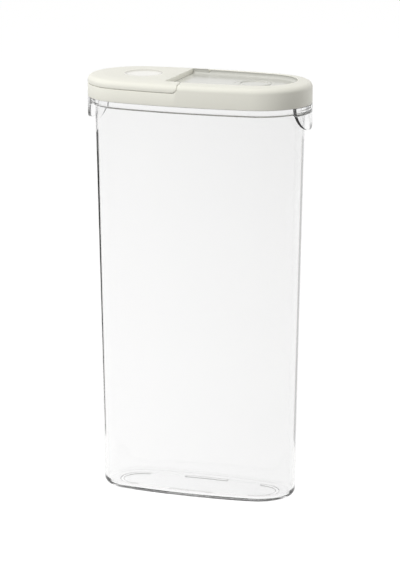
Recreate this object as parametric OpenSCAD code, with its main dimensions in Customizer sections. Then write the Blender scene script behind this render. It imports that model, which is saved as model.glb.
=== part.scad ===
// Slim oval container for cereal: a clear tapered jar, a push-on lid whose one end flips
// up for pouring, and a soft seal ring round the lid's plug.
// X runs along the long axis with the pouring end at -X, Z is up, and the jar stands on Z = 0.
// Distances named ..._in are measured inwards from the lid's outline, square to it.

/* [Overall] */
// Height of the closed container
height = 310; // [200:1:400]
// Length of the lid, which is the longest outline
lid_l = 168; // [130:1:220]
// Width of the lid
lid_w = 82; // [70:1:110]
// Radius of the gently bowed long sides
side_r = 370; // [250:10:800]

/* [Jar] */
// Wall of the jar
jar_wall = 2; // [1.2:0.1:3]
// Thickness of the jar's floor
floor_t = 2.6; // [1.6:0.1:5]
// Inset of the jar's outside just below the collar
jar_top_in = 5.1; // [4:0.1:7]
// Inset of the jar's outside at the base, where the taper ends
jar_base_in = 10.6; // [7:0.1:14]
// Rounding of the base edge
base_r = 4.5; // [2:0.1:8]
// Inset of the collar under the lid
collar_in = 2.2; // [2:0.1:3.5]
// Height of the collar
collar_h = 5.2; // [3:0.1:10]
// Rounding under the collar
collar_r = 1.6; // [0.5:0.1:2.5]
// Bevel on the edge of the jar's mouth
mouth_bevel = 0.5; // [0.2:0.1:0.8]

/* [Feet] */
// Height of the foot ridges
foot_h = 0.8; // [0.4:0.1:2]
// Width of the foot ridges
foot_w = 3; // [2:0.1:5]
// Slope of the ridges' sides
foot_slope = 0.4; // [0.1:0.1:0.8]
// Inset of the ridges' middle from the base outline
foot_in = 13; // [9:0.5:16]
// Half length of the two side ridges
foot_side = 17; // [8:0.5:24]
// Distance from the middle at which the two end ridges start
foot_end = 43; // [30:0.5:50]

/* [Ears] */
// Radius of the half-round ears that hang below the lid at both ends
ear_r = 17.8; // [10:0.1:22]
// Thickness of the ears
ear_t = 2; // [1.2:0.1:2.4]

/* [Lid] */
// Height of the lid
lid_h = 16.6; // [14.5:0.1:30]
// Wall of the lid's skirt
skirt_t = 1.8; // [1.2:0.1:2]
// Thickness of the deck
deck_t = 2; // [1.2:0.1:3]
// Thickness of the step that the cap's edge closes on
ledge_t = 1.5; // [1:0.1:2]
// Width of the sloping rim round the recess
rim_w = 10.8; // [9:0.1:13]
// Slope of the rim in degrees
rim_slope = 7; // [2:0.5:12]
// Radius from the rim into the side
rim_r = 4; // [2:0.1:5]
// Depth of the recess below the rim
recess_d = 3.4; // [2:0.1:4]
// Wall of the plug that enters the jar
plug_t = 1.5; // [1:0.1:2.5]
// Depth of the plug below the deck
plug_h = 10; // [8:0.5:14]

/* [Ring mark in the recess] */
// Distance of the ring from the middle
ring_x = 42; // [30:0.5:50]
// Outer radius of the ring
ring_r = 12.2; // [6:0.1:18]
// Width of the ring
ring_w = 2; // [1:0.1:3]
// Height of the ring
ring_h = 0.5; // [0.3:0.1:1]
// Slope of the ring's outside
ring_slope = 0.4; // [0.1:0.1:0.8]

/* [Flip cap] */
// Distance from the middle to the straight back edge of the cap's flat top
cap_back = 15.7; // [14:0.1:25]
// Depth of the cap's side below the top
cap_h = 6.7; // [6:0.1:8]
// Thickness of the cap
cap_t = 2; // [1.4:0.1:2.6]
// Bevel in the hollow of the cap, under its rounded edge
cap_bevel = 1.4; // [1:0.1:1.6]
// Distance of the finger dimple from the middle
dimple_x = 43; // [36:0.5:50]
// Radius of the finger dimple
dimple_r = 13.8; // [8:0.1:18]
// Depth of the finger dimple
dimple_d = 1.2; // [0.5:0.1:1.5]

/* [Pour opening] */
// Inset of the opening from the outline
pour_in = 14; // [13:0.1:20]
// Distance from the middle to the opening's straight edge
pour_back = 22; // [21:0.5:35]
// Rounding of the opening's corners
pour_r = 6; // [2:0.5:10]
// Wall of the rim that closes the opening
pour_rim_t = 1.4; // [1:0.1:2]
// Depth of that rim below the deck's top
pour_rim_h = 2.6; // [1.5:0.1:4]
// Depth of the collar round the opening, below the deck's top
collar_drop = 3.2; // [2.4:0.1:5]
// Gap between the opening and the rim that closes it
pour_gap = 0.4; // [0.3:0.05:0.8]

/* [Hinge] */
// Distance of the hinge axis from the middle
hinge_x = 6.6; // [5:0.1:8]
// Depth of the hinge axis below the top
hinge_depth = 3; // [2.8:0.1:3.4]
// Radius of the moulded hinge pins
pin_r = 0.9; // [0.7:0.05:1]
// Wall of the lugs round the pins
lug_wall = 0.75; // [0.6:0.05:0.8]
// Thickness of the lugs
lug_t = 1.8; // [1.2:0.1:2.4]
// Reach of the lugs' posts past the axis, on the side away from the pouring end
lug_front = 0.5; // [0.2:0.1:0.8]
// Wall of the arms between the recess and the lugs
arm_wall = 1.4; // [1:0.1:2]
// How far the cap swings open in degrees
cap_open = 100; // [90:1:104]

/* [Seal] */
// Height of the seal ring
seal_h = 3; // [2:0.1:4]
// Height of the seal above the plug's lower edge
seal_up = 2.5; // [1:0.1:4]
// Depth of its groove in the plug
seal_groove = 0.7; // [0.4:0.1:0.9]
// Reach of its lips beyond the plug
seal_lip = 0.3; // [0.1:0.05:0.4]

/* [Clearances] */
// Gap round the cap and between parts that move
gap = 0.3; // [0.2:0.05:0.4]
// Gap between the plug and the jar's mouth
plug_gap = 0.6; // [0.5:0.1:1]
// Gap round the hinge pins
pin_gap = 0.05; // [0.03:0.01:0.1]

/* [Hidden] */
$fa = 3;
$fs = 0.5;
// Overlap that joins solids and clears cuts
eps = 0.1;
far = 2 * lid_l;

// Outline: two bowed sides and two round ends that meet them smoothly
half_l = lid_l / 2;
half_w = lid_w / 2;
end_r = (2 * side_r * half_w - half_l * half_l - half_w * half_w) / (2 * (side_r - half_l));
end_c = half_l - end_r;
side_c = side_r - half_w;
join_a = atan2(side_c, end_c);

// Levels
lid_z = height - lid_h;
seam_z = height - cap_h;
deck_z = height - recess_d;
deck_low = deck_z - deck_t;
collar_z = lid_z - collar_h;
hinge_z = height - hinge_depth;
nose_r = hinge_z - seam_z;
ledge_low = seam_z - gap - ledge_t;
rim_top = ledge_low - gap;
floor_z = foot_h + floor_t;
seal_z = deck_low - plug_h + seal_up;

// Where the cap's hollow ends and its solid arms begin
arm_x = cap_back + cap_t;
// How far from the middle the arms' lower corners reach as they swing
arm_sweep = hinge_x + norm([arm_x - hinge_x, nose_r]);

// Insets
plug_in = jar_top_in + jar_wall + plug_gap;
step_in = cap_t + gap;
lug_in = rim_w - arm_wall - gap;
wall_in = step_in + skirt_t;

// Points of an arc from angle a to angle b
function arc(x, y, r, a, b, n = 8) =
    [for (i = [0 : n]) [x + r * cos(a + (b - a) * i / n), y + r * sin(a + (b - a) * i / n)]];

// Half width of the outline, moved outwards by d, at a distance x from the middle
function half_width(x, d) = sqrt(pow(side_r + d, 2) - x * x) - side_c;

// The outline, moved outwards by d
module oval(d = 0) {
    for (side = [-1, 1]) translate([side * end_c, 0]) circle(r = end_r + d);
    intersection() {
        translate([0, -side_c]) circle(r = side_r + d);
        translate([0, side_c]) circle(r = side_r + d);
        square([2 * (side_r + d) * cos(join_a), 2 * lid_w], center = true);
    }
}

module slab(d, z0, z1) translate([0, 0, z0]) linear_extrude(z1 - z0) oval(d);

// Carries a profile round the outline: its x is the distance outwards, its y the height
module swept() {
    for (turn = [0, 180]) rotate(turn) {
        translate([0, -side_c, 0]) rotate(join_a)
            rotate_extrude(angle = 180 - 2 * join_a) translate([side_r, 0]) children();
        translate([end_c, 0, 0]) rotate(-join_a)
            rotate_extrude(angle = 2 * join_a) translate([end_r, 0]) children();
    }
}

// Extrudes a profile drawn in X and Z right across the container, or between two widths
module across(y0 = -lid_w, y1 = lid_w)
    translate([0, y1, 0]) rotate([90, 0, 0]) linear_extrude(y1 - y0) children();

module left_of(x) across() translate([-far, -far]) square([far + x, 2 * far + height]);

// Jar

function jar_out(z) =
    -jar_base_in + (jar_base_in - jar_top_in) * (z - foot_h) / (collar_z - foot_h);

inner_r = base_r - jar_wall / 2;
floor_out = jar_out(floor_z + inner_r) - jar_wall;

module jar_profile() {
    base_out = jar_out(foot_h + base_r);
    core = -jar_base_in - base_r - jar_wall - eps;
    fillet_z = floor_z - eps / 2;
    polygon(concat(
        [[core, foot_h]],
        arc(base_out - base_r, foot_h + base_r, base_r, -90, 0),
        [[-jar_top_in, collar_z]],
        arc(-collar_in - collar_r, collar_z + collar_r, collar_r, -90, 0, 5),
        [[-collar_in, lid_z], [-jar_top_in, lid_z], [-jar_top_in, rim_top - mouth_bevel]],
        [[-jar_top_in - mouth_bevel, rim_top], [-jar_top_in - jar_wall, rim_top]],
        [[-jar_top_in - jar_wall, collar_z]],
        arc(floor_out - inner_r, fillet_z + inner_r, inner_r, 0, -90),
        [[core, fillet_z]]));
}

module foot_ridges() {
    mid = -jar_base_in - foot_in;
    difference() {
        swept() polygon([
            [mid - foot_w / 2, foot_h + eps], [mid - foot_w / 2 + foot_slope, 0],
            [mid + foot_w / 2 - foot_slope, 0], [mid + foot_w / 2, foot_h + eps]]);
        for (turn = [0, 180]) rotate(turn)
            translate([foot_side, -lid_w, -1]) cube([foot_end - foot_side, 2 * lid_w, 3]);
    }
}

module ears() {
    intersection() {
        swept() translate([-ear_t, lid_z - ear_r]) square([ear_t, ear_r]);
        translate([-lid_l, 0, lid_z]) rotate([0, 90, 0]) cylinder(r = ear_r, h = 2 * lid_l);
    }
    // the collar runs out to the ears
    intersection() {
        swept() translate([-jar_top_in - jar_wall / 2, collar_z])
            square([jar_top_in + jar_wall / 2, collar_h]);
        translate([-lid_l, 0, lid_z]) rotate([0, 90, 0]) cylinder(r = ear_r, h = 2 * lid_l);
    }
}

module jar() color([0.93, 0.94, 0.94, 0.35]) {
    swept() jar_profile();
    // the floor, and its upper face, which runs into the fillet
    slab(-jar_base_in - base_r - jar_wall, foot_h, floor_z - eps);
    slab(floor_out - inner_r / 2, floor_z - floor_t / 2, floor_z);
    foot_ridges();
    ears();
}

// Lid

// The closed top's outside: side, rounded shoulder and sloping rim, filled down to z0
module dome(z0) {
    edge = rim_w + 1;
    tangent = rim_r * (1 - sin(rim_slope));
    shoulder_z = height - (rim_w - tangent) * tan(rim_slope) - rim_r * cos(rim_slope);
    swept() polygon(concat(
        [[-edge, z0], [0, z0]],
        arc(-rim_r, shoulder_z, rim_r, 0, 90 - rim_slope),
        [[-rim_w, height], [-edge, height]]));
    slab(-edge + eps, z0, height);
}

// The room that the cap turns in, grown by g all round
module turn_room(g) {
    translate([-far, -lid_w, seam_z - g]) cube([far - hinge_x, 2 * lid_w, lid_h]);
    translate([-hinge_x, lid_w, hinge_z]) rotate([90, 0, 0]) cylinder(r = nose_r + g, h = 2 * lid_w);
    if (g > 0)
        translate([-hinge_x, -lid_w, hinge_z]) cube([nose_r + g, 2 * lid_w, lid_h]);
}

module cap_room() {
    // above the deck
    intersection() {
        slab(-step_in + eps, deck_z, height + 1);
        left_of(-cap_back + gap);
    }
    // round the cap's side
    difference() {
        turn_room(gap);
        slab(-step_in, seam_z - 1, height + 2);
        translate([-hinge_x - 2, -lid_w, 0]) cube([far, 2 * lid_w, height + 2]);
    }
    // round the two arms
    difference() {
        intersection() {
            turn_room(gap);
            translate([-arm_sweep - gap, -lid_w, 0]) cube([far, 2 * lid_w, height + 2]);
        }
        slab(-rim_w - gap, seam_z - 1, height + 2);
    }
}

module pour_outline(d = 0) {
    corner_x = -pour_back - pour_r;
    intersection() {
        oval(-pour_in + d);
        translate([-far, -far]) square([far + corner_x, 2 * far]);
    }
    intersection() {
        oval(-pour_in - pour_r);
        translate([-far, -far]) square([far - pour_back + d, 2 * far]);
    }
    for (side = [-1, 1])
        translate([corner_x, side * half_width(corner_x, -pour_in - pour_r)]) circle(r = pour_r + d);
}

module hinge_lugs() {
    lug_r = pin_r + pin_gap + lug_wall;
    y0 = half_w - lug_in;
    for (side = [0, 1]) mirror([0, side, 0]) difference() {
        union() {
            translate([-hinge_x, y0 + lug_t, hinge_z]) rotate([90, 0, 0]) cylinder(r = lug_r, h = lug_t);
            translate([-hinge_x - lug_r, y0, seam_z - gap - eps])
                cube([lug_r + lug_front, lug_t, nose_r + gap + eps]);
        }
        translate([-hinge_x, y0 + lug_t + 1, hinge_z]) rotate([90, 0, 0])
            cylinder(r = pin_r + pin_gap, h = lug_t + 2);
    }
}

// The wall that enters the jar's mouth
module plug(z1) difference() {
    slab(-plug_in, deck_low - plug_h, z1);
    slab(-plug_in - plug_t, deck_low - plug_h - 1, z1 + 1);
}

module lid() color("ivory") {
    difference() {
        union() {
            difference() {
                dome(lid_z);
                // recess
                difference() {
                    slab(-rim_w, deck_z, height + 1);
                    left_of(-cap_back - 1);
                }
                // hollow under the deck
                slab(-wall_in, lid_z - 1, deck_low);
                swept() translate([-wall_in - 1, lid_z - 1])
                    square([wall_in + 1 - skirt_t, ledge_low - lid_z + 1]);
            }
            // raised ring in the recess
            translate([ring_x, 0, deck_z - eps]) difference() {
                cylinder(r1 = ring_r, r2 = ring_r - ring_slope, h = ring_h + eps);
                translate([0, 0, -1])
                    cylinder(r = ring_r - ring_w, h = ring_h + 2);
            }
            plug(deck_low + eps);
            // floors under the two arms
            intersection() {
                difference() {
                    slab(-wall_in + eps, ledge_low, deck_low + eps);
                    slab(-rim_w - gap - deck_t, ledge_low - 1, deck_low + 1);
                }
                across() translate([-arm_sweep - gap - skirt_t, ledge_low])
                    square([arm_sweep - hinge_x + nose_r + 2 * gap + 2 * skirt_t, cap_h]);
            }
            // collar under the pour opening
            translate([0, 0, deck_z - collar_drop]) linear_extrude(collar_drop - eps) difference() {
                pour_outline(pour_rim_t);
                pour_outline(0);
            }
        }
        cap_room();
        translate([0, 0, lid_z]) linear_extrude(lid_h + 1) pour_outline(0);
        // groove for the seal
        difference() {
            slab(-plug_in + plug_gap, seal_z, seal_z + seal_h);
            slab(-plug_in - seal_groove, seal_z - 1, seal_z + seal_h + 1);
        }
    }
    hinge_lugs();
}

// Seal

module lid_seal() color([0.9, 0.9, 0.88]) {
    lip_h = seal_h / 5;
    difference() {
        union() {
            slab(-plug_in, seal_z, seal_z + seal_h);
            for (z = [lip_h, 3 * lip_h])
                slab(-plug_in + seal_lip, seal_z + z, seal_z + z + lip_h);
        }
        slab(-plug_in - seal_groove, seal_z - 1, seal_z + seal_h + 1);
    }
}

// Flip cap

module cap_hollow() {
    top = height - cap_t;
    intersection() {
        union() {
            swept() polygon([
                [-rim_w - 1, 0], [-cap_t, 0], [-cap_t, top - cap_bevel], [-cap_t - cap_bevel, top],
                [-rim_w - 1, top]]);
            slab(-rim_w - 1 + eps, 0, top);
        }
        left_of(-arm_x);
    }
}

module hinge_slots() {
    slot_r = pin_r + pin_gap + lug_wall + gap;
    y0 = half_w - lug_in - gap;
    width = lug_t + 2 * gap;
    for (side = [0, 1]) mirror([0, side, 0]) {
        translate([-hinge_x, y0 + width, hinge_z]) rotate([90, 0, 0]) cylinder(r = slot_r, h = width);
        translate([-hinge_x - slot_r, y0, 0]) cube([far, width, hinge_z]);
        // where the lug's post comes to lie when the cap is open
        translate([-hinge_x, y0, hinge_z - eps])
            cube([far, width, lug_front + nose_r * sin(cap_open - 90) + gap + eps]);
    }
}

module hinge_pins() {
    y0 = half_w - rim_w;
    for (side = [0, 1]) mirror([0, side, 0])
        translate([-hinge_x, y0 + arm_wall + lug_t + 3 * gap, hinge_z]) rotate([90, 0, 0])
            cylinder(r = pin_r, h = lug_t + 4 * gap);
}

// The ball that the finger dimple is dished with, grown by d
module dish(d) {
    r = (dimple_r * dimple_r + dimple_d * dimple_d) / (2 * dimple_d);
    translate([-dimple_x, 0, height - dimple_d + r]) sphere(r = r + d, $fn = 180);
}

module flip_cap() color("whitesmoke") {
    difference() {
        intersection() {
            dome(seam_z - 1);
            turn_room(0);
        }
        // recess behind the flat top
        difference() {
            slab(-rim_w, seam_z - 2, height + 2);
            left_of(-cap_back);
        }
        // the back edge stays clear of the deck
        intersection() {
            slab(-rim_w - eps, 0, deck_z + gap);
            left_of(-cap_back + 1);
        }
        cap_hollow();
        hinge_slots();
        dish(0);
    }
    hinge_pins();
    // the dimple's underside follows its dish
    intersection() {
        difference() {
            dish(cap_t);
            dish(0);
        }
        translate([-dimple_x, 0, height - cap_t - dimple_d - 1])
            cylinder(r = dimple_r + cap_t, h = dimple_d + 1 + eps);
    }
    // rim that closes the pour opening
    translate([0, 0, deck_z - pour_rim_h]) linear_extrude(recess_d - cap_t + pour_rim_h + eps) difference() {
        pour_outline(-pour_gap);
        pour_outline(-pour_gap - pour_rim_t);
    }
}

jar();
lid();
lid_seal();
flip_cap();
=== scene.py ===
import math
import bpy
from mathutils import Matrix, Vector


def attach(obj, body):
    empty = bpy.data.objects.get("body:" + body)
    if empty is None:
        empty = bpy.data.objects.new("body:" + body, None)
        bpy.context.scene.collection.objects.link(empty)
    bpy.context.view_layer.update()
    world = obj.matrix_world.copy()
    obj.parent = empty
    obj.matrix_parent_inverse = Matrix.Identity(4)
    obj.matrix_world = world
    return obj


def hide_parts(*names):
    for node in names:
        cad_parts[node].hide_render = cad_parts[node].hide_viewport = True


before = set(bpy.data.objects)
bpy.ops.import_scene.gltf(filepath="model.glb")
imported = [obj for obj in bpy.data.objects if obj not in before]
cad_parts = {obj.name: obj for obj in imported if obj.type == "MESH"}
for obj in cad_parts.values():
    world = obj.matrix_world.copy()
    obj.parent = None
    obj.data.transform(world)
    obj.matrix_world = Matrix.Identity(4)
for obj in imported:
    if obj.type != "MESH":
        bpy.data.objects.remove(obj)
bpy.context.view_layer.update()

# Studio. The container stands on a pale floor in front of a white backdrop. A large soft lamp from
# the upper left and a weaker one from the right light the lid, and dark flags out of sight beside
# it give the clear jar its dark edges.


def linear(code):
    """An sRGB hex colour as linear RGBA."""
    parts = [int(code[i:i + 2], 16) / 255 for i in (0, 2, 4)]
    return [p / 12.92 if p <= 0.04045 else ((p + 0.055) / 1.055) ** 2.4 for p in parts] + [1]


def add_node(tree, kind, settings=(), links=()):
    """Adds a node, sets its sockets and properties, and links sockets of earlier nodes to it."""
    node = tree.nodes.new(kind)
    for name, value in dict(settings).items():
        if isinstance(name, int) or name in node.inputs:
            node.inputs[name].default_value = value
        else:
            setattr(node, name, value)
    for name, source in dict(links).items():
        tree.links.new(source, node.inputs[name])
    return node


azimuth, elevation, distance = math.radians(19.787), math.radians(13.216), 2.23607
aim = Vector((0.00045, 0, 0.15486))
away = Vector((math.sin(azimuth) * math.cos(elevation),
               -math.cos(azimuth) * math.cos(elevation), math.sin(elevation)))
camera = bpy.data.objects.new("camera", bpy.data.cameras.new("camera"))
bpy.context.scene.collection.objects.link(camera)
camera.location = aim + distance * away
camera.rotation_euler = (-away).to_track_quat("-Z", "Y").to_euler()
camera.data.sensor_fit = "HORIZONTAL"
camera.data.sensor_width = 36
camera.data.lens = 274.27
camera.data.clip_end = 50
bpy.context.scene.camera = camera
bpy.context.scene.view_settings.view_transform = "Standard"

ambient = 0.354
world = bpy.data.worlds.new("white_studio")
bpy.context.scene.world = world
world.use_nodes = True
tree = world.node_tree
tree.nodes.clear()
path = add_node(tree, "ShaderNodeLightPath")
seen = add_node(tree, "ShaderNodeMath", {"operation": "MAXIMUM"},
                {0: path.outputs["Is Camera Ray"], 1: path.outputs["Is Glossy Ray"]})
seen = add_node(tree, "ShaderNodeMath", {"operation": "MAXIMUM"},
                {0: seen.outputs[0], 1: path.outputs["Is Transmission Ray"]})
soft = add_node(tree, "ShaderNodeBackground", {"Color": linear("FFFEFA"), "Strength": ambient})
white = add_node(tree, "ShaderNodeBackground", {"Color": linear("FFFFFF"), "Strength": 1})
both = add_node(tree, "ShaderNodeMixShader", {},
                {0: seen.outputs[0], 1: soft.outputs[0], 2: white.outputs[0]})
add_node(tree, "ShaderNodeOutputWorld", {}, {"Surface": both.outputs[0]})

bpy.ops.object.select_all(action="DESELECT")
bpy.ops.mesh.primitive_plane_add(size=8)
floor = bpy.context.active_object
floor.name = "floor"
paper = bpy.data.materials.new("white_paper_floor")
paper.use_nodes = True
tree = paper.node_tree
tree.nodes.clear()
path = add_node(tree, "ShaderNodeLightPath")
seen = add_node(tree, "ShaderNodeMath", {"operation": "MAXIMUM"},
                {0: path.outputs["Is Glossy Ray"], 1: path.outputs["Is Transmission Ray"]})
seen = add_node(tree, "ShaderNodeMath", {"operation": "MULTIPLY", 1: 0.91}, {0: seen.outputs[0]})
glow = add_node(tree, "ShaderNodeMath", {"operation": "MULTIPLY", 1: 0.93},
                {0: path.outputs["Is Camera Ray"]})
glow = add_node(tree, "ShaderNodeMath", {"operation": "MAXIMUM"},
                {0: glow.outputs[0], 1: seen.outputs[0]})
light = add_node(tree, "ShaderNodeEmission", {"Color": linear("FFFFFF")},
                 {"Strength": glow.outputs[0]})
matt = add_node(tree, "ShaderNodeBsdfDiffuse", {"Color": linear("707070")})
both = add_node(tree, "ShaderNodeAddShader", {}, {0: light.outputs[0], 1: matt.outputs[0]})
add_node(tree, "ShaderNodeOutputMaterial", {}, {"Surface": both.outputs[0]})
floor.data.materials.append(paper)


def lamp(name, place, size, power, colour):
    """A square soft lamp that points at the container."""
    data = bpy.data.lights.new(name, "AREA")
    data.size, data.energy, data.color = size, power, linear(colour)[:3]
    item = bpy.data.objects.new(name, data)
    bpy.context.scene.collection.objects.link(item)
    item.location = place
    item.rotation_euler = (aim - Vector(place)).to_track_quat("-Z", "Y").to_euler()
    item.visible_camera = item.visible_glossy = item.visible_transmission = False
    return item


for name, turn, height, power in (
        ("key_lamp", -27, 45, 22.5), ("low_lamp", -40, 8, 5), ("left_lamp", -90, 8, 3),
        ("right_lamp", 75, 25, 4.6), ("back_lamp", 140, 8, 9.6)):
    turn, height = math.radians(turn), math.radians(height)
    lamp(name, Vector((math.sin(turn) * math.cos(height), -math.cos(turn) * math.cos(height),
                       math.sin(height))) * 1.9 + Vector((0, 0, 0.3)), 0.8, power, "FFFFFF")


def flag(name, side, depth, height, width, rise, grey, foot=1):
    """An upright card across the view, grey all over, that only reflections and refractions show."""
    bpy.ops.object.select_all(action="DESELECT")
    bpy.ops.mesh.primitive_plane_add(size=1)
    card = bpy.context.active_object
    card.name = name
    for corner in card.data.vertices:
        if corner.co.y < 0:
            corner.co.x *= foot
    card.rotation_euler = (math.pi / 2, 0, azimuth)
    card.location = sideways * side + behind * depth + Vector((0, 0, height))
    card.scale = (width, rise, 1)
    felt = bpy.data.materials.new(name + "_felt")
    felt.use_nodes = True
    felt.node_tree.nodes.clear()
    glow = add_node(felt.node_tree, "ShaderNodeEmission", {"Color": linear(grey)})
    add_node(felt.node_tree, "ShaderNodeOutputMaterial", {}, {"Surface": glow.outputs[0]})
    card.data.materials.append(felt)
    card.visible_camera = card.visible_diffuse = card.visible_shadow = False


sideways = Vector((math.cos(azimuth), math.sin(azimuth), 0))
behind = Vector((-math.sin(azimuth), math.cos(azimuth), 0))
flag("left_flag", -0.135, 0.116, 0.13, 0.05, 0.26, "282828", foot=0.3)
flag("right_flag", 0.14, 0.084, 0.13, 0.05, 0.26, "D0D0D0")
flag("front_flag", 0, -1, 1.4, 1.8, 1, "181818")

# Jar. Injection moulded in one piece of clear styrene copolymer, polished all over. Its oval is made
# of four arcs, the wall tapers to the base, and the collar, the ears and the low ridges that it
# stands on are moulded on.
MM = 0.001
end_radius, end_centre = 37.765, 46.235
side_radius, side_centre = 370.0, 329.0
join = math.atan2(side_centre, end_centre)
base_z, floor_z, collar_z, skirt_z, brim_z = 0.8, 3.4, 288.2, 293.4, 301.2
ridge_rise = 0.8
ear_radius = 17.8
styrene_index = 1.57


def rounded(corners, turn=12):
    """The corners (x, z, radius) of a section as points, with an arc at each that has a radius."""
    points = []
    for i, (x, z, r) in enumerate(corners):
        if r == 0:
            points.append((x, z))
            continue
        here = Vector((x, z))
        back = (Vector(corners[i - 1][:2]) - here).normalized()
        on = (Vector(corners[(i + 1) % len(corners)][:2]) - here).normalized()
        half = back.angle(on) / 2
        centre = here + (back + on).normalized() * (r / math.sin(half))
        start = here + back * (r / math.tan(half)) - centre
        sweep = -start.angle_signed(here + on * (r / math.tan(half)) - centre)
        steps = max(2, round(math.degrees(abs(sweep)) / turn))
        for k in range(steps + 1):
            a = sweep * k / steps
            points.append((centre.x + start.x * math.cos(a) - start.y * math.sin(a),
                           centre.y + start.x * math.sin(a) + start.y * math.cos(a)))
    return points


def trace(name, points, closed=True):
    """Draws a line through (x, y, z) points in mm by extruding one vertex from point to point."""
    bpy.ops.object.select_all(action="DESELECT")
    bpy.ops.mesh.primitive_plane_add(size=MM)
    piece = bpy.context.active_object
    piece.name = name
    bpy.ops.object.mode_set(mode="EDIT")
    bpy.ops.mesh.select_mode(type="VERT")
    bpy.ops.mesh.select_all(action="SELECT")
    bpy.ops.mesh.merge(type="CENTER")
    points = [Vector(p) * MM for p in points]
    bpy.ops.transform.translate(value=points[0])
    for here, there in zip(points, points[1:] + points[:closed]):
        bpy.ops.mesh.extrude_region_move(TRANSFORM_OT_translate={"value": there - here})
    bpy.ops.mesh.select_all(action="SELECT")
    if closed:
        bpy.ops.mesh.remove_doubles(threshold=MM / 1000)
        bpy.ops.mesh.select_all(action="SELECT")
    return piece


def swept(name, section, closed=False):
    """Spins a section (mm outwards from the lid's outline, height) round the oval's four arcs."""
    piece = trace(name, [(end_centre + end_radius + x, 0, z) for x, z in section], closed)
    for centre_x, centre_y, angle, steps in (
            (end_centre, 0, join, 82), (0, -side_centre, math.pi - 2 * join, 40),
            (-end_centre, 0, 2 * join, 164), (0, side_centre, math.pi - 2 * join, 40),
            (end_centre, 0, join, 82)):
        bpy.ops.mesh.spin(steps=steps, angle=angle, axis=(0, 0, -1),
                          center=(centre_x * MM, centre_y * MM, 0))
    bpy.ops.mesh.select_all(action="SELECT")
    bpy.ops.mesh.remove_doubles(threshold=MM / 100)
    if not closed:
        bpy.ops.mesh.select_all(action="DESELECT")
        bpy.ops.mesh.select_mode(type="EDGE")
        bpy.ops.mesh.select_non_manifold(use_wire=False, use_multi_face=False,
                                         use_non_contiguous=False, use_verts=False)
        bpy.ops.mesh.edge_face_add()
    bpy.ops.mesh.select_mode(type="FACE")
    bpy.ops.mesh.select_all(action="SELECT")
    bpy.ops.mesh.normals_make_consistent(inside=False)
    bpy.ops.object.mode_set(mode="OBJECT")
    return piece


def combine(piece, tool, operation):
    """Joins, cuts or intersects a piece with a tool, which is used up."""
    change = piece.modifiers.new("change", "BOOLEAN")
    change.operation, change.object, change.solver = operation, tool, "MANIFOLD"
    bpy.ops.object.select_all(action="DESELECT")
    bpy.context.view_layer.objects.active = piece
    piece.select_set(True)
    bpy.ops.object.modifier_apply(modifier=change.name)
    bpy.data.objects.remove(tool)


def soften(piece, width, segments=2, angle=40):
    """Rounds a piece's sharp edges."""
    edge = piece.modifiers.new("edge", "BEVEL")
    edge.width, edge.segments, edge.use_clamp_overlap = width * MM, segments, False
    edge.limit_method, edge.angle_limit = "ANGLE", math.radians(angle)
    bpy.ops.object.select_all(action="DESELECT")
    bpy.context.view_layer.objects.active = piece
    piece.select_set(True)
    bpy.ops.object.modifier_apply(modifier=edge.name)


def outline_distance(x, y):
    """How far a point lies outside the lid's outline, in mm."""
    if math.atan2(abs(y) + side_centre, abs(x)) < join:
        return math.hypot(abs(x) - end_centre, y) - end_radius
    return math.hypot(x, abs(y) + side_centre) - side_radius


def wall_at(z):
    """Offset of the jar's tapering outside at height z."""
    return -10.6 + 5.5 * (z - base_z) / (collar_z - base_z)


def plastic(name, colour, roughness, index, transmission=0):
    """A material with one colour, roughness, refractive index and share of light let through."""
    item = bpy.data.materials.new(name)
    item.use_nodes = True
    surface = item.node_tree.nodes["Principled BSDF"]
    surface.inputs["Base Color"].default_value = linear(colour)
    surface.inputs["Roughness"].default_value = roughness
    surface.inputs["IOR"].default_value = index
    surface.inputs["Transmission Weight"].default_value = transmission
    return item


jar = swept("clear_jar", rounded([
    (-26, base_z, 0), (-25.1, base_z, 0), (-22.1, base_z, 0), (wall_at(base_z), base_z, 4.5),
    (-5.1, collar_z, 0.7), (-2.2, collar_z, 1.6), (-2.2, skirt_z, 0.4), (-5.1, skirt_z, 0.3),
    (-5.1, brim_z, 0.6), (-7.1, brim_z, 0.6), (-7.1, collar_z, 0),
    (wall_at(floor_z) - 2, floor_z, 3.5), (-26, floor_z, 0)]))

# four low ridges under the base: faces of the ring, inset for their slopes and moved down
for face in jar.data.polygons:
    x, y, z = face.center / MM
    under_ring = abs(z - base_z) < 0.01 and abs(outline_distance(x, y) + 23.6) < 1
    face.select = under_ring and not 17 < abs(x) < 43
bpy.ops.object.mode_set(mode="EDIT")
bpy.ops.mesh.inset(thickness=0.4 * MM)
bpy.ops.transform.translate(value=(0, 0, -ridge_rise * MM))
bpy.ops.object.mode_set(mode="OBJECT")

# ears: a ring with the collar's shelf, of which a rod across both ends keeps two half discs
ears = swept("ears", rounded([
    (-6, collar_z, 0), (-2, collar_z, 1.2), (-2, 270, 0), (0, 270, 0), (0, skirt_z, 0.3),
    (-6, skirt_z, 0)]), closed=True)
bpy.ops.mesh.primitive_cylinder_add(vertices=180, radius=ear_radius * MM, depth=0.2,
                                    location=(0, 0, skirt_z * MM), rotation=(0, math.pi / 2, 0))
combine(ears, bpy.context.active_object, "INTERSECT")
combine(jar, ears, "UNION")
bpy.ops.object.shade_smooth_by_angle(angle=math.radians(35))

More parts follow.
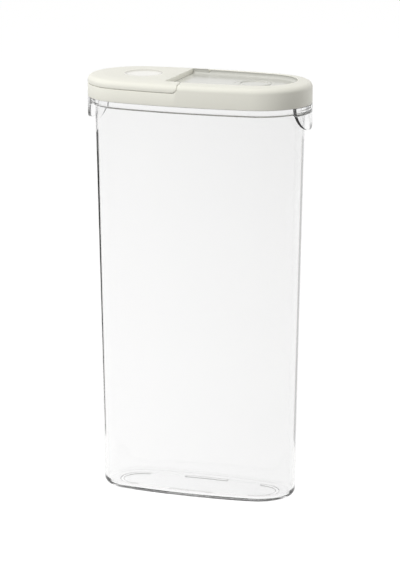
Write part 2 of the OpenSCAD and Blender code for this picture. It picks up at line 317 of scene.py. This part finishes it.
# Jar plastic: clear styrene copolymer, polished. The corner under the collar has a painted shade
# line.
clear = plastic("clear_styrene_copolymer", "FBFBFB", 0, styrene_index, 1)
tree = clear.node_tree
place = add_node(tree, "ShaderNodeTexCoord")
apart = add_node(tree, "ShaderNodeSeparateXYZ", {}, {"Vector": place.outputs["Object"]})
# painted shade: the clear plastic's colour turns a little darker towards the right end
along = add_node(tree, "ShaderNodeMapRange", {"From Min": -80 * MM, "From Max": 80 * MM},
                 {"Value": apart.outputs["X"]})
shade = add_node(tree, "ShaderNodeMix",
                 {"data_type": "RGBA", "A": linear("FBFBFB"), "B": linear("F6F6F6")},
                 {"Factor": along.outputs["Result"]})
# painted shade: a dark line just under the collar's corner, for the darkness that refraction makes
# there
below = add_node(tree, "ShaderNodeMath", {"operation": "SUBTRACT", 1: (collar_z + 0.55) * MM},
                 {0: apart.outputs["Z"]})
below = add_node(tree, "ShaderNodeMath", {"operation": "ABSOLUTE"}, {0: below.outputs[0]})
near = add_node(tree, "ShaderNodeMapRange",
                {"From Min": 0.15 * MM, "From Max": 0.6 * MM, "To Min": 1, "To Max": 0},
                {"Value": below.outputs[0]})
line = add_node(tree, "ShaderNodeMix", {"data_type": "RGBA", "B": linear("50504A")},
                {"Factor": near.outputs["Result"], "A": shade.outputs["Result"]})
tree.links.new(line.outputs["Result"], tree.nodes["Principled BSDF"].inputs["Base Color"])
# ridge slopes painted darker (painted shade); the ears' cut edges softer than the polished walls
jar.data.materials.clear()
for material in (clear, plastic("clear_ridge_slopes_painted_shade", "70706C", 0, styrene_index, 1),
                 plastic("clear_soft_edges", "FBFBFB", 0.3, styrene_index, 1)):
    jar.data.materials.append(material)
for face in jar.data.polygons:
    x, y, z = face.center / MM
    slope = z < base_z - 0.01 and abs(face.normal.z) < 0.98 and outline_distance(x, y) < -20
    on_rod = abs(math.hypot(y, z - skirt_z) - ear_radius) < 0.05
    edge = on_rod and abs(face.normal.x) < 0.05 and abs(x) > 70
    face.material_index = 1 if slope else 2 if edge else 0
jar.visible_shadow = False
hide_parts("jar")
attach(jar, "jar")

# Lid. Injection moulded in off-white polypropylene: a skirt and a sloping rim round a sunk deck,
# with a raised ring, the seat and the pour opening of the cap, a plug that enters the jar and two
# small lugs for the cap's pins.


def block(name, outline, way):
    """A solid with the drawn outline of (x, y, z) points in mm, extruded along way."""
    piece = trace(name, outline)
    bpy.ops.mesh.edge_face_add()
    bpy.ops.mesh.extrude_region_move(TRANSFORM_OT_translate={"value": Vector(way) * MM})
    bpy.ops.mesh.select_all(action="SELECT")
    bpy.ops.mesh.normals_make_consistent(inside=False)
    bpy.ops.object.mode_set(mode="OBJECT")
    return piece


def across(name, outline, y0=-60, y1=60):
    """A solid right across the lid with an outline of (x, z) points, from y0 to y1."""
    return block(name, [(x, y0, z) for x, z in outline], (0, y1 - y0, 0))


def bow(x, z, r, a, b, steps=12):
    """Points of an arc round (x, z) from angle a to angle b in degrees."""
    turn = [math.radians(a + (b - a) * k / steps) for k in range(steps + 1)]
    return [(x + r * math.cos(t), z + r * math.sin(t)) for t in turn]


def turned(name, x, profile, closed):
    """A round solid about the upright axis at x with a profile of (radius, z) points."""
    piece = trace(name, [(x + r, 0, z) for r, z in profile], closed)
    bpy.ops.mesh.spin(steps=96, angle=2 * math.pi, axis=(0, 0, -1), center=(x * MM, 0, 0))
    bpy.ops.mesh.select_all(action="SELECT")
    bpy.ops.mesh.remove_doubles(threshold=MM / 100)
    bpy.ops.mesh.normals_make_consistent(inside=False)
    bpy.ops.object.mode_set(mode="OBJECT")
    return piece


def pour_outline(grow):
    """The pour opening's outline: the end of an oval, a straight edge and two round corners."""
    reach, corner = end_radius - 14 + grow, 6 + grow
    side = side_radius - 14 + grow
    corner_x, reach_in = -28, side_radius - 20
    corner_y = math.sqrt(reach_in ** 2 - corner_x ** 2) - side_centre
    lean = math.degrees(math.asin(-corner_x / reach_in))
    half = bow(corner_x, corner_y, corner, 0, 90 + lean, 10)
    half += bow(0, -side_centre, side, 90 + lean, 180 - math.degrees(join), 10)[1:]
    half += bow(-end_centre, 0, reach, 180 - math.degrees(join), 180, 30)[1:]
    return half + [(x, -y) for x, y in reversed(half[:-1])]


top_z, shoulder_z, deck_z, deck_under, arm_z = 310, 308.674, 306.6, 304.6, 303
ring_x = 42
hinge = (-6.6, 307)
lid = swept("lid_shell", rounded([
    (-26, deck_under, 0), (-9.2, deck_under, 0.8), (-9.2, 294.6, 0.4), (-7.7, 294.6, 0.4),
    (-7.7, 297.1, 0), (-8.4, 297.1, 0), (-8.4, 300.1, 0), (-7.7, 300.1, 0),
    (-7.7, deck_under, 0.5), (-4.1, deck_under, 0.5), (-4.1, 301.5, 0.3), (-1.8, 301.5, 0.4),
    (-1.8, skirt_z, 0.5), (0, skirt_z, 0.5), (0, shoulder_z, 4), (-10.8, top_z, 0.5),
    (-10.8, deck_z, 2.4), (-26, deck_z, 0)]))
# the cap's seat: above the deck, round the cap's wall and round its two arms
seat = across("seat", [(-120, deck_z), (-15.4, deck_z), (-15.4, 320), (-120, 320)])
combine(seat, swept("seat_side", [(-2.2, 300), (-2.2, 330)]), "INTERSECT")
combine(lid, seat, "DIFFERENCE")
step = across("step", [(-120, arm_z), (-8.6, arm_z), (-8.6, 320), (-120, 320)])
combine(step, swept("step_side", [(-2.3, 290), (-2.3, 330)]), "DIFFERENCE")
combine(lid, step, "DIFFERENCE")
notch = across("notch", [(-18.6, arm_z)] + bow(*hinge, 4, -90, 0) + [(-2.6, 320), (-18.6, 320)])
combine(notch, swept("notch_side", [(-11.1, 290), (-11.1, 330)]), "DIFFERENCE")
combine(lid, notch, "DIFFERENCE")
# floors under the arms
under = across("arm_floor", [(-20.4, 301.5), (-0.8, 301.5), (-0.8, 304.7), (-20.4, 304.7)])
combine(under, swept("arm_floor_out", [(-4, 290), (-4, 330)]), "INTERSECT")
combine(under, swept("arm_floor_in", [(-13.1, 290), (-13.1, 330)]), "DIFFERENCE")
combine(lid, under, "UNION")
# pour opening with a collar below it
collar = block("pour_collar", [(x, y, 303.4) for x, y in pour_outline(1.4)], (0, 0, 2))
combine(lid, collar, "UNION")
opening = block("pour_opening", [(x, y, 290) for x, y in pour_outline(0)], (0, 0, 30))
combine(lid, opening, "DIFFERENCE")
soften(lid, 0.25)
# raised ring in the deck, with a fainter one round it
for inner, outer, top in ((10.2, 12.2, 307.1), (14.7, 15.6, 306.75)):
    section = rounded([(inner, 306.4, 0), (outer, 306.4, 0), (outer - 0.2, top, 0.15),
                       (inner + 0.1, top, 0.15)], 30)
    combine(lid, turned("ring", ring_x, section, True), "UNION")
# lugs with a hole for the pins
for y0 in (31.9, -33.7):
    outline = [(-8.3, 302.8), (-6.1, 302.8)] + bow(*hinge, 1.7, -72.9, 180)
    lug = across("lug", outline, y0, y0 + 1.8)
    hole = across("hole", bow(*hinge, 0.95, 0, 345, 23), y0 - 1, y0 + 3)
    combine(lug, hole, "DIFFERENCE")
    combine(lid, lug, "UNION")
bpy.ops.object.shade_smooth_by_angle(angle=math.radians(35))

# Polypropylene: off-white, moulded with a fine satin finish. The recess is polished, and its cove
# mirrors the dark front of the room.
# Painted shade: the recess floor is painted darker than the lid, and its cove darker still towards
# the top.
polypropylene_index = 1.49


def polished_plastic_with_painted_shade(name, low_z, high_z, low, high):
    """Polished polypropylene whose colour, a painted shade, goes from low to high between two
    heights in mm.
    """
    item = plastic(name, low, 0.16, polypropylene_index)
    tree = item.node_tree
    place = add_node(tree, "ShaderNodeTexCoord")
    apart = add_node(tree, "ShaderNodeSeparateXYZ", {}, {"Vector": place.outputs["Object"]})
    climb = add_node(tree, "ShaderNodeMapRange",
                     {"From Min": low_z * MM, "From Max": high_z * MM},
                     {"Value": apart.outputs["Z"]})
    shade = add_node(tree, "ShaderNodeMix",
                     {"data_type": "RGBA", "A": linear(low), "B": linear(high)},
                     {"Factor": climb.outputs["Result"]})
    tree.links.new(shade.outputs["Result"], tree.nodes["Principled BSDF"].inputs["Base Color"])
    return item


satin = plastic("satin_polypropylene", "F0EFE5", 0.42, polypropylene_index)
# painted shade for the recess, darker than the satin lid and darkest at the top of the cove
polished = polished_plastic_with_painted_shade("polished_polypropylene_painted_shade", deck_z, 309.6, "D8D8D1", "A4A49D")
lid.data.materials.clear()
lid.data.materials.append(satin)
lid.data.materials.append(polished)
for face in lid.data.polygons:
    x, y, z = face.center / MM
    face.material_index = int(306.4 < z < 309.9 and outline_distance(x, y) < -10.75)
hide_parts("lid")
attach(lid, "lid")

# Flip cap. Moulded in the same polypropylene: a flat top with a finger dimple, a rim that closes
# the pour opening from above, and two arms along the lid's rim that end in the hinge pins.
dimple_x = -43
cap = swept("flip_cap_shell", rounded([
    (-26, 303.3, 0), (0, 303.3, 0.4), (0, shoulder_z, 4), (-10.8, top_z, 1), (-26, top_z, 0)]))
room = across("room", [(-120, 290), (-6.6, 290)] + bow(*hinge, 3.7, -90, 90, 24) + [(-120, 320)])
combine(cap, room, "INTERSECT")
back = across("back", [(-15.7, 290), (30, 290), (30, 320), (-15.7, 320)])
combine(back, swept("back_side", [(-10.8, 280), (-10.8, 330)]), "INTERSECT")
combine(cap, back, "DIFFERENCE")
hollow = across("hollow", [(-120, 290), (-17.7, 290), (-17.7, 308), (-120, 308)])
combine(hollow, swept("hollow_side", [
    (-26, 280), (-2, 280), (-2, 306.6), (-3.4, 308), (-3.4, 330), (-26, 330)]), "INTERSECT")
combine(cap, hollow, "DIFFERENCE")
for y0 in (31.6, -34):
    slot = across("slot", [(-8.6, 290)] + bow(*hinge, 2, 180, 46) + [(5, 308.44), (5, 290)],
                  y0, y0 + 2.4)
    combine(cap, slot, "DIFFERENCE")
soften(cap, 0.25)
# dimple: its underside first, then the dish with a soft edge
under = turned("under", dimple_x, [(0, 306.8), (7, 307.1), (15.8, 308.4), (0, 308.4)], False)
combine(cap, under, "UNION")
dish = turned("dish", dimple_x, [
    (0, 308.8), (4, 308.82), (7.5, 308.9), (9.5, 309), (11, 309.14), (12, 309.32), (12.8, 309.56),
    (13.4, 309.8), (13.9, 309.93), (14.6, 310.001), (15.2, 310.4), (15.2, 312), (0, 312)], False)
combine(cap, dish, "DIFFERENCE")
rim = block("pour_rim", [(x, y, 304) for x, y in pour_outline(-0.4)], (0, 0, 4.1))
core = block("pour_core", [(x, y, 300) for x, y in pour_outline(-1.8)], (0, 0, 20))
combine(rim, core, "DIFFERENCE")
combine(cap, rim, "UNION")
for y0 in (31.3, -34.3):
    pin = across("pin", bow(*hinge, 0.9, 0, 345, 23), y0, y0 + 3)
    combine(cap, pin, "UNION")
bpy.ops.object.shade_smooth_by_angle(angle=math.radians(35))
# the dimple is polished, its floor painted brighter than its edge: painted light and shade
# the arms' inner sides are polished too, with the recess's painted shade, darker towards the top
dimple_painted_shade = polished_plastic_with_painted_shade("polished_dimple_painted_shade", 309.05, 309.9, "FBFAF4", "C9C7BC")
cap.data.materials.clear()
for material in (satin, dimple_painted_shade, polished):
    cap.data.materials.append(material)
for face in cap.data.polygons:
    x, y, z = face.center / MM
    dimple = math.hypot(x - dimple_x, y) < 14.2 and 308.7 < z < 309.96
    arm = x > -15.6 and outline_distance(x, y) < -10.6
    face.material_index = 1 if dimple else 2 if arm else 0
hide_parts("flip_cap")
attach(cap, "cap")

# Seal. A soft silicone ring with two lips in the groove of the lid's plug.
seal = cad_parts["lid_seal"]
seal.data.materials.clear()
seal.data.materials.append(plastic("silicone", "F2F2EE", 0.55, 1.5))
